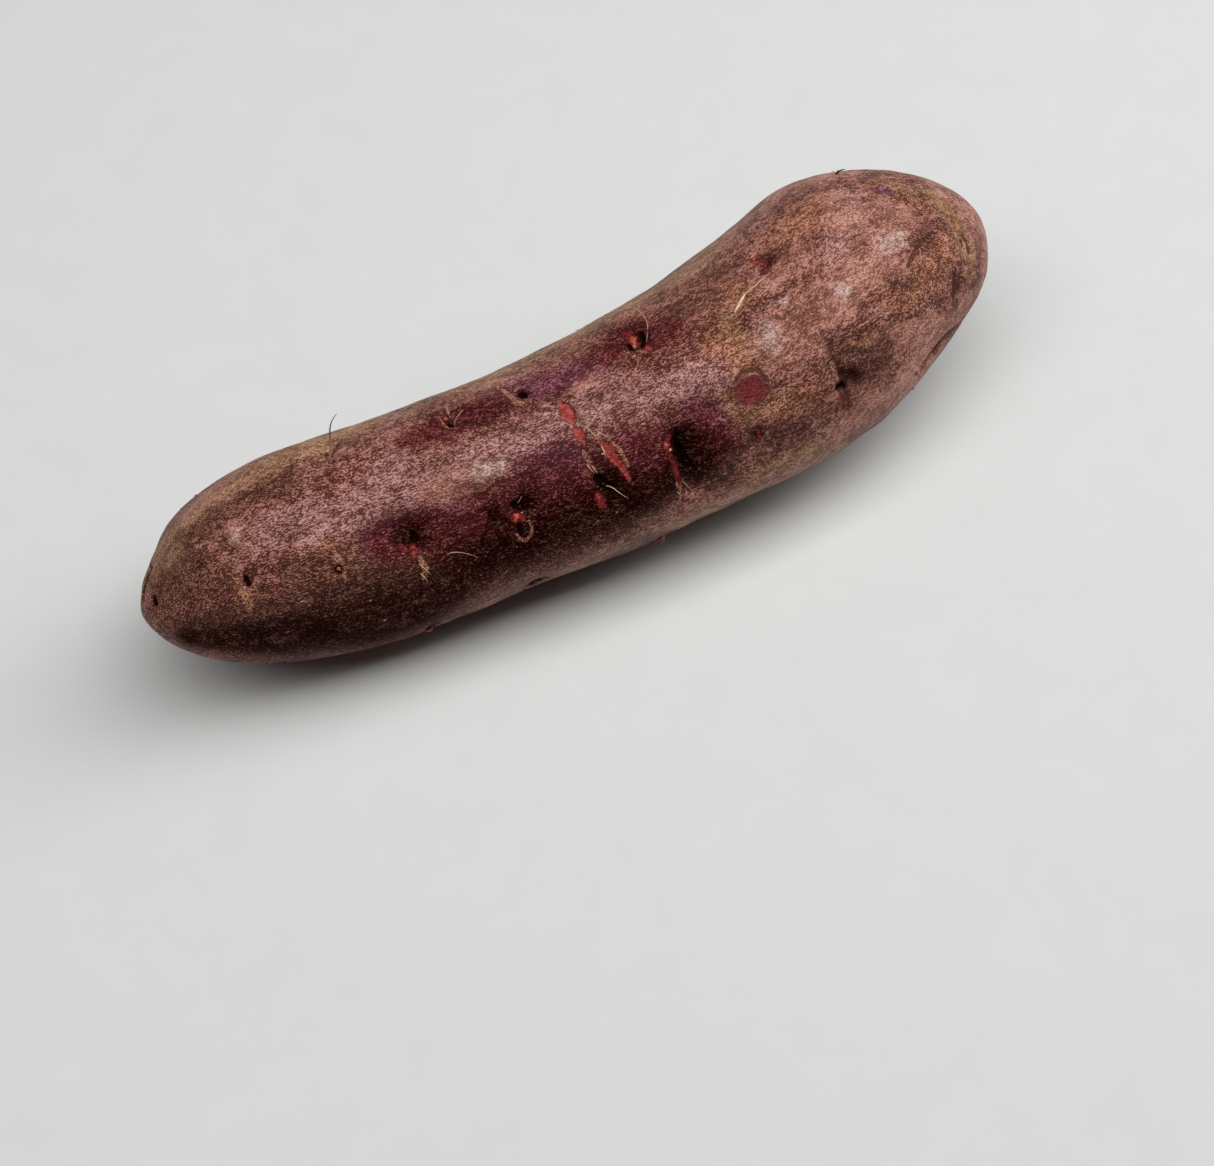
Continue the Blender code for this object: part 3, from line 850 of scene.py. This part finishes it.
def ball_points(grid):
    """Number of points of a ball with this grid: its rings, and the two poles."""
    return grid[0] * grid[1] + 2


def make_buds(material, buds, strokes, shift):
    """Buds of flesh: lumpy balls on the skin, each with its own half sizes."""
    places = np.array([[bud.along, bud.around, bud.height] for bud in buds])
    centres, vectors = on_skin(places, strokes)
    sizes = np.array([[bud.length, bud.width, bud.rise] for bud in buds]).T
    points, faces = lumpy_balls(centres, sizes, vectors, BUD_GRID, SEED)
    piece = new_piece("flesh_buds", points + shift, faces, material)
    set_field(piece, "pale", np.repeat([bud.pale for bud in buds], ball_points(BUD_GRID)).astype(float))
    return piece


def make_crumbs(material, strokes, shift):
    """Crumbs of soil in and below the eyes: lumpy balls whose size and shade are drawn at random."""
    draw = np.random.default_rng(SEED + 2)
    eyes = [eye for eye in (*EYES, *hidden_eyes()) if abs((eye.around % 360) - UNDERNEATH) > CRUMB_FREE]
    places = []
    for eye in eyes:
        for _ in range(EYE_CRUMBS):
            a, r = draw.normal(0, 0.45 * eye.length), draw.normal(-4, CRUMB_SPREAD)
            places.append((eye.along + a, eye.around + r, 0.0))
    for _ in range(HEAP_CRUMBS):
        for along, a, around, r in CRUMB_HEAPS:
            places.append((along + draw.normal(0, a), around + draw.normal(0, r), 0.0))
    places = np.array(places)
    centres, vectors = on_skin(places, strokes)
    size = 0.1 + 0.22 * draw.uniform(0, 1, len(places)) ** 2
    points, faces = lumpy_balls(centres, (1.3 * size, size, 0.8 * size), vectors, CRUMB_GRID, SEED + 3)
    piece = new_piece("soil_crumbs", points + shift, faces, material)
    set_field(piece, "pale", np.repeat(draw.uniform(0, 1, len(places)) ** 2.5, ball_points(CRUMB_GRID)))
    return piece


class Number:
    """A value socket.  Each operator adds a Math node, so a pattern is written as sums and products."""

    def __init__(self, nodes, socket):
        self.nodes, self.socket = nodes, socket

    def maths(self, operation, *others):
        """A Math node on this value and the others."""
        inputs = {i: value for i, value in enumerate((self, *others))}
        return self.nodes.number("ShaderNodeMath", {"operation": operation}, inputs)

    def __add__(self, other):
        return self.maths("ADD", other)

    def __mul__(self, other):
        return self.maths("MULTIPLY", other)

    def __sub__(self, other):
        return self.maths("SUBTRACT", other)

    def __rsub__(self, other):
        return self.nodes.number("ShaderNodeMath", {"operation": "SUBTRACT"}, {0: other, 1: self})

    __radd__, __rmul__ = __add__, __mul__


class Nodes:
    """One material's nodes."""

    def __init__(self, name):
        self.material = bpy.data.materials.new(name)
        self.material.use_nodes = True
        self.tree = self.material.node_tree
        self.shader = self.tree.nodes["Principled BSDF"]

    def add(self, kind, settings=None, inputs=None, output=0):
        """A node of this type, with its settings set first and then its sockets, as values or links."""
        node = self.tree.nodes.new(kind)
        for name, value in (settings or {}).items():
            setattr(node, name, value)
        for name, value in (inputs or {}).items():
            self.feed(node.inputs[name], value)
        return node.outputs[output]

    def feed(self, socket, value):
        """Links a socket to a node's output, or sets its value."""
        value = value.socket if isinstance(value, Number) else value
        if isinstance(value, bpy.types.NodeSocket):
            self.tree.links.new(value, socket)
        else:
            socket.default_value = value

    def number(self, kind, settings=None, inputs=None, output=0):
        return Number(self, self.add(kind, settings, inputs, output))

    def field(self, name):
        """A number that the mesh has at each point."""
        return self.number("ShaderNodeAttribute", {"attribute_name": name}, output=2)

    def place(self, name):
        """A vector that the mesh has at each point."""
        return self.add("ShaderNodeAttribute", {"attribute_name": name}, output=1)

    def position(self):
        """Object coordinates, in metres."""
        return self.add("ShaderNodeTexCoord", output=3)

    def noise(self, place, sizes, seed=0.0, detail=2.0, roughness=0.5, distortion=0.0):
        """Noise whose lumps have these sizes along the place's three axes."""
        scale = tuple(1 / size for size in sizes)
        scaled = self.add("ShaderNodeVectorMath", {"operation": "MULTIPLY"}, {0: place, 1: scale})
        moved = self.add("ShaderNodeVectorMath", {"operation": "ADD"}, {0: scaled, 1: (seed, seed, seed)})
        inputs = {"Vector": moved, "Scale": 1.0, "Detail": detail}
        inputs.update({"Roughness": roughness, "Distortion": distortion})
        return self.number("ShaderNodeTexNoise", inputs=inputs)

    def step(self, value, low, high):
        """0 below low, 1 above high, and smooth between them."""
        inputs = {"Value": value, "From Min": low, "From Max": high}
        return self.number("ShaderNodeMapRange", {"interpolation_type": "SMOOTHSTEP"}, inputs)

    def blend(self, share, a, b, mode="MIX"):
        """Colour between a and b."""
        settings = {"data_type": "RGBA", "blend_type": mode, "clamp_factor": True}
        return self.add("ShaderNodeMix", settings, {0: share, 6: a, 7: b}, output=2)

    def between(self, share, pair):
        """Colour between the dark and the pale one of a pair."""
        return self.blend(share, colour(*pair[0]), colour(*pair[1]))

    def finish(self, base, roughness, height, **constants):
        """Colour, roughness and bump, and the values that are the same all over."""
        self.feed(self.shader.inputs["Base Color"], base)
        self.feed(self.shader.inputs["Roughness"], roughness)
        self.bump = self.add("ShaderNodeBump", {}, {"Height": height, "Distance": MM, "Strength": 1.0})
        self.feed(self.shader.inputs["Normal"], self.bump)
        for name, value in constants.items():
            self.feed(self.shader.inputs[name.replace("_", " ")], value)
        return self.material

    def cover(self, share, base):
        """A dull second finish over the first one, by share."""
        inputs = {"Base Color": base, "Roughness": 0.95, "Specular IOR Level": 0.0, "Normal": self.bump}
        dull = self.add("ShaderNodeBsdfPrincipled", {}, inputs)
        mixed = self.add("ShaderNodeMixShader", {}, {0: share, 1: self.shader.outputs["BSDF"], 2: dull})
        self.tree.links.new(mixed, self.tree.nodes["Material Output"].inputs["Surface"])
        return self.material


def colour(red, green, blue):
    """These three with full opacity."""
    return (red, green, blue, 1.0)


# The skin's ground, its flecks, and how much of it the flecks cover
PLAIN = ((0.068, 0.015, 0.009), (0.384, 0.160, 0.122), 0.43)
# How each soft field changes them: share, where the change is full, then ground, flecks and cover
TINTS = {
    # Purple-grey film, and painted highlight
    "violet_and_highlight": (0.9, 0.9, (0.126, 0.038, 0.036), (0.464, 0.244, 0.222), 0.49),
    # Greenish khaki, and a painted sheen on the top edge
    "olive_and_sheen": (0.9, 0.9, (0.132, 0.055, 0.023), (0.4, 0.212, 0.118), 0.5),
    # Khaki, and painted reflection of the floor
    "rim_and_reflection": (0.95, 0.9, (0.17, 0.072, 0.047), (0.455, 0.24, 0.16), 0.52),
    # Pale film, and painted light
    "pale_film_and_light": (0.9, 0.9, (0.2, 0.068, 0.048), (0.47, 0.23, 0.174), 0.5),
    "tan": (0.88, 0.9, (0.112, 0.029, 0.013), (0.455, 0.2, 0.125), 0.46),
    # Dark brown, and painted shade
    "brown_and_shade": (0.85, 1, (0.04, 0.01, 0.006), (0.235, 0.092, 0.064), 0.36),
    "magenta": (0.85, 1, (0.06, 0.007, 0.018), (0.26, 0.074, 0.112), 0.34),
    "red": (0.9, 0.9, (0.042, 0.003, 0.004), (0.21, 0.05, 0.05), 0.27),
    # Painted shade
    "shade": (0.92, 1, (0.01, 0.002, 0.001), (0.084, 0.032, 0.025), 0.22),
    # Whitish dust, and painted highlight
    "frost_and_highlight": (0.85, 0.9, (0.27, 0.145, 0.122), (0.58, 0.4, 0.355), 0.57),
}

# Clouds that multiply the ground and the flecks, where they are dark and where they are pale
GROUND_CLOUDS = ((0.62, 0.54, 0.52), (1.38, 1.42, 1.42))
FLECK_CLOUDS = ((0.74, 0.66, 0.62), (1.22, 1.28, 1.3))
# Dark and pale tones of the sharp places
BARK = ((0.11, 0.032, 0.016), (0.56, 0.265, 0.165))
SCUFFED = ((0.08, 0.006, 0.008), (0.215, 0.032, 0.036))
TORN_FLESH = ((0.17, 0.016, 0.012), (0.44, 0.08, 0.066))
# Tones of the small pieces
HAIR_TONES = ((0.36, 0.19, 0.1), (0.62, 0.46, 0.32))
RED_BUD = ((0.16, 0.012, 0.007), (0.58, 0.1, 0.058))
TAN_BUD = ((0.22, 0.07, 0.03), (0.6, 0.36, 0.2))
SOIL_TONES = ((0.02, 0.009, 0.006), (0.075, 0.036, 0.02))
DRY_SKIN = ((0.5, 0.3, 0.16), (0.78, 0.6, 0.4))
FLOOR_TONES = ((0.59, 0.598, 0.59), (0.625, 0.632, 0.625))


def skin_material():
    """Dark ground and pale flecks, tinted by the soft fields, with the sharp fields painted over them."""
    nodes = Nodes("purple_skin")
    place = nodes.place("straight")
    fields = {name: nodes.field(name) for name in FIELDS}
    mottle = nodes.noise(place, (17, 9, 9), 3.0, 3.0, 0.6)
    patches = nodes.noise(place, (6.0, 3.4, 3.4), 17.0, 3.0, 0.65)
    blots = nodes.noise(place, (1.7, 1.1, 1.1), 53.0, 2.0, 0.55)
    dents = nodes.noise(place, (3.0, 1.9, 1.9), 41.0, 2.0, 0.5)
    ragged = nodes.noise(place, (0.9, 0.7, 0.7), 7.0, 3.0, 0.65)
    curls = nodes.noise(place, (0.62, 0.26, 0.26), 11.0, 1.0, 0.5, 0.4)
    grain = nodes.noise(place, (0.34, 0.24, 0.24), 29.0, 1.0, 0.5)
    strands = nodes.noise(place, (1.3, 0.30, 0.30), 71.0, 2.0, 0.6, 0.9)
    drift = (patches - 0.5) * 1.2

    # The ground, tinted by the soft fields, and the pale flecks that cover part of it
    deep, pale, cover = colour(*PLAIN[0]), colour(*PLAIN[1]), PLAIN[2]
    changes = {}
    for name, (share, full, deep_tint, pale_tint, cover_tint) in TINTS.items():
        much = nodes.step(fields[name] + drift * 0.35 + (blots - 0.5) * 0.25, 0.0, full) * share
        deep = nodes.blend(much, deep, colour(*deep_tint))
        pale = nodes.blend(much, pale, colour(*pale_tint))
        cover = cover + (cover_tint - cover) * much
        changes[name] = much
    cloudy = nodes.step(mottle * 0.4 + patches * 0.35 + blots * 0.25, 0.38, 0.62)
    deep = nodes.blend(1.0, deep, nodes.between(cloudy, GROUND_CLOUDS), "MULTIPLY")
    pale = nodes.blend(1.0, pale, nodes.between(cloudy, FLECK_CLOUDS), "MULTIPLY")
    fine = curls * 0.44 + strands * 0.24 + grain * 0.32
    flecks = fine + (blots - 0.5) * 0.16 + (patches - 0.5) * 0.14 + (cover - 0.5) * 0.20
    base = nodes.blend(nodes.step(flecks, 0.462, 0.548), deep, pale)
    # Pale dusty tips of the grain, and painted glints: bright specks in place of the lamp's glints
    dusty_tips_and_glints = nodes.step(flecks + (ragged - 0.5) * 0.35, 0.61, 0.68)
    base = nodes.blend(dusty_tips_and_glints * 0.62, base, colour(0.70, 0.46, 0.40))

    # The sharp fields, one over the other, with ragged edges
    torn = (ragged - 0.5) * 1.0 + (curls - 0.5) * 0.5
    # Painted shade along the creases and scratches
    crease = nodes.step(fields["crease"] + torn * 0.5, 0.42, 0.6)
    base = nodes.blend(crease * 0.8, base, colour(0.060, 0.016, 0.010))
    cork = nodes.step(fields["cork"] + torn, 0.40, 0.70)
    bark = nodes.between(nodes.step(grain * 0.6 + curls * 0.4, 0.42, 0.60), BARK)
    cork_edge = nodes.step(fields["cork"] + torn, 0.22, 0.40)
    base = nodes.blend(cork_edge * 0.5, base, colour(0.055, 0.016, 0.010))
    base = nodes.blend(cork * 0.85, base, bark)
    wound_edge = fields["wound"] + torn * 0.5
    scuff_edge = fields["scuff"] + torn * 0.9 + (blots - 0.5) * 0.7
    outline = nodes.step(wound_edge, 0.32, 0.46) + nodes.step(scuff_edge, 0.28, 0.46)
    base = nodes.blend(outline * 0.7, base, colour(0.045, 0.008, 0.006))
    scuff = nodes.step(scuff_edge, 0.44, 0.58)
    base = nodes.blend(scuff, base, nodes.between(nodes.step(fine, 0.42, 0.60), SCUFFED))
    wound = nodes.step(wound_edge, 0.46, 0.55)
    flesh = nodes.between(nodes.step(ragged * 0.5 + fine * 0.5, 0.40, 0.60), TORN_FLESH)
    base = nodes.blend(wound, base, flesh)
    # Painted shade round the holes, then near black in them: soil, and painted shade in the holes
    shade_round_holes = nodes.step(fields["soil_and_hole_shade"] + torn * 0.6, 0.12, 0.55)
    base = nodes.blend(shade_round_holes * 0.85, base, colour(0.30, 0.16, 0.13), "MULTIPLY")
    soil_and_hole_shade = nodes.step(fields["soil_and_hole_shade"] + torn * 1.2, 0.42, 0.62)
    base = nodes.blend(soil_and_hole_shade * 0.95, base, colour(0.009, 0.003, 0.002))
    dull = soil_and_hole_shade + changes["shade"] + changes["red"] * 0.6

    # Bump in millimetres, and gloss
    height = fine * 0.55 + blots * 0.2 + dents * 0.3
    height = height - wound * 0.12 - scuff * 0.1 + cork * grain * 0.3 - soil_and_hole_shade * 0.2
    roughness = 0.46 + cork * 0.2 - wound * 0.1
    nodes.finish(base, roughness, height, Specular_IOR_Level=0.17, Specular_Tint=colour(1.0, 0.80, 0.74))
    return nodes.cover(dull, base)


def hair_material():
    """Straw-coloured fibre that turns dark brown where a hair root is dark."""
    nodes = Nodes("root_hair")
    place = nodes.position()
    dark = nodes.field("dark")
    strands = nodes.noise(place, (0.0004, 0.0004, 0.0004), 2.0, 2.0, 0.6)
    darkness = nodes.step(dark + (strands - 0.5) * 0.3, 0.15, 0.75)
    base = nodes.blend(darkness, nodes.between(strands, HAIR_TONES), colour(0.035, 0.014, 0.009))
    return nodes.finish(base, 0.6, strands * 0.05)


def flesh_material():
    """Streaky flesh that goes from dark red over red to tan with each bud's tone."""
    nodes = Nodes("red_flesh")
    place = nodes.position()
    pale = nodes.field("pale")
    fibres = nodes.noise(place, (0.0004, 0.0004, 0.0004), 8.0, 3.0, 0.7)
    streaks = nodes.step(fibres, 0.35, 0.65)
    red = nodes.between(streaks, RED_BUD)
    dark_red = nodes.blend(1.0, red, colour(0.30, 0.22, 0.22), "MULTIPLY")
    red = nodes.blend(nodes.step(pale, 0.0, -0.8), red, dark_red)
    base = nodes.blend(nodes.step(pale, 0.15, 0.95), red, nodes.between(streaks, TAN_BUD))
    return nodes.finish(base, 0.5, fibres * 0.25, Specular_IOR_Level=0.25)


def soil_material():
    """Dark grit, with a few pale grains."""
    nodes = Nodes("soil")
    place = nodes.position()
    pale = nodes.field("pale")
    grit = nodes.noise(place, (0.0003, 0.0003, 0.0003), 4.0, 2.0, 0.6)
    soil = nodes.between(grit, SOIL_TONES)
    base = nodes.blend(nodes.step(pale, 0.35, 0.8), soil, colour(0.42, 0.27, 0.18))
    return nodes.finish(base, 0.85, grit * 0.1)


def splinter_material():
    """Dry, straw-coloured skin, streaked along its length."""
    nodes = Nodes("dry_splinter")
    place = nodes.position()
    fibres = nodes.noise(place, (0.0011, 0.0003, 0.0003), 6.0, 2.0, 0.6)
    base = nodes.between(nodes.step(fibres, 0.35, 0.65), DRY_SKIN)
    return nodes.finish(base, 0.6, fibres * 0.15)


def floor_material():
    """Pale grey with faint blotches.  Far off the paint fades, and it glows in the backdrop's grey."""
    nodes = Nodes("pale_floor")
    place = nodes.position()
    blotches = nodes.noise(place, (0.012, 0.012, 0.012), 5.0, 3.0, 0.6)
    distance = nodes.number("ShaderNodeVectorMath", {"operation": "LENGTH"}, {0: place}, output=1)
    far = nodes.step(distance, *FLOOR_FADE)
    nodes.feed(nodes.shader.inputs["Emission Color"], nodes.blend(far, colour(0, 0, 0), colour(*BACKDROP)))
    paint = nodes.blend(far, nodes.between(blotches, FLOOR_TONES), colour(0, 0, 0))
    return nodes.finish(paint, 0.9, blotches * 0.02, Specular_IOR_Level=0.2, Emission_Strength=1.0)


def make_floor():
    """One wide square under the root."""
    corners = FLOOR_REACH * np.array([(-1, -1, 0), (1, -1, 0), (1, 1, 0), (-1, 1, 0)])
    floor = new_piece("floor", corners, [(0, 1, 2, 3)], floor_material())


def direction(turn, elevation):
    """Unit vector from a point towards something that stands this far round and this high above it."""
    turn, elevation = math.radians(turn), math.radians(elevation)
    level = math.cos(elevation)
    return Vector((math.sin(turn) * level, -math.cos(turn) * level, math.sin(elevation)))


def looking(item, target):
    """Turns a camera or a lamp towards a point."""
    item.rotation_euler = (target - item.location).to_track_quat("-Z", "Y").to_euler()


def make_camera():
    """The photograph's camera: the aim, plus a direction times a distance."""
    lens = bpy.data.cameras.new("camera")
    lens.sensor_fit = "HORIZONTAL"
    lens.sensor_width = SENSOR_WIDTH
    lens.lens = FOCAL_PIXELS * SENSOR_WIDTH / IMAGE_WIDTH
    lens.clip_start = 0.01
    camera = bpy.data.objects.new("camera", lens)
    target = Vector(AIM) * MM
    camera.location = target + direction(CAMERA_TURN, CAMERA_ELEVATION) * CAMERA_DISTANCE * MM
    looking(camera, target)
    bpy.context.scene.collection.objects.link(camera)
    bpy.context.scene.camera = camera


def make_light(name, turn, elevation, distance, size, power):
    """A rectangular lamp that stands in this direction and looks at the root."""
    light = bpy.data.lights.new(name, "AREA")
    light.shape = "RECTANGLE"
    light.size, light.size_y = size
    light.energy = power
    item = bpy.data.objects.new(name, light)
    item.location = direction(turn, elevation) * distance
    looking(item, Vector((0, 0, 0)))
    bpy.context.scene.collection.objects.link(item)


def make_world():
    """Faint white light from all round.  What the camera sees there is the backdrop's grey."""
    world = bpy.data.worlds.new("studio")
    world.use_nodes = True
    tree = world.node_tree
    background = tree.nodes["Background"]
    background.inputs["Color"].default_value = colour(1.0, 1.0, 0.99)
    background.inputs["Strength"].default_value = 0.03
    backdrop = tree.nodes.new("ShaderNodeBackground")
    backdrop.inputs["Color"].default_value = colour(*BACKDROP)
    ray = tree.nodes.new("ShaderNodeLightPath")
    mixed = tree.nodes.new("ShaderNodeMixShader")
    tree.links.new(ray.outputs["Is Camera Ray"], mixed.inputs[0])
    tree.links.new(background.outputs[0], mixed.inputs[1])
    tree.links.new(backdrop.outputs[0], mixed.inputs[2])
    tree.links.new(mixed.outputs[0], tree.nodes["World Output"].inputs["Surface"])
    bpy.context.scene.world = world


hidden_strokes, more_hairs, more_buds = hidden_marks()
sharp_strokes = (WOUNDS, SCUFFS, CORK, SOIL_AND_HOLE_SHADE, CREASES)
soft_strokes = (SHADE, PALE_FILM_AND_LIGHT, VIOLET_AND_HIGHLIGHT, MAGENTA, RED, OLIVE_AND_SHEEN, TAN, BROWN_AND_SHADE, RIM_AND_REFLECTION, FROST_AND_HIGHLIGHT)
shown_strokes = dict(zip(FIELDS, sharp_strokes + soft_strokes))
strokes = {name: [*shown_strokes[name], *hidden_strokes[name]] for name in FIELDS}
skin, shift = make_skin(skin_material(), strokes)
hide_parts(NODE)
pieces = [
    skin,
    make_hairs(hair_material(), [*HAIRS, *more_hairs], strokes, shift),
    make_splinter(splinter_material(), strokes, shift),
    make_buds(flesh_material(), [*BUDS, *more_buds], strokes, shift),
    make_crumbs(soil_material(), strokes, shift),
]
for piece in pieces:
    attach(piece, BODY)
make_floor()
make_camera()
make_light("key", turn=88, elevation=72, distance=1.0, size=(0.62, 4.0), power=32.5)
make_world()
bpy.context.scene.view_settings.view_transform = "Standard"
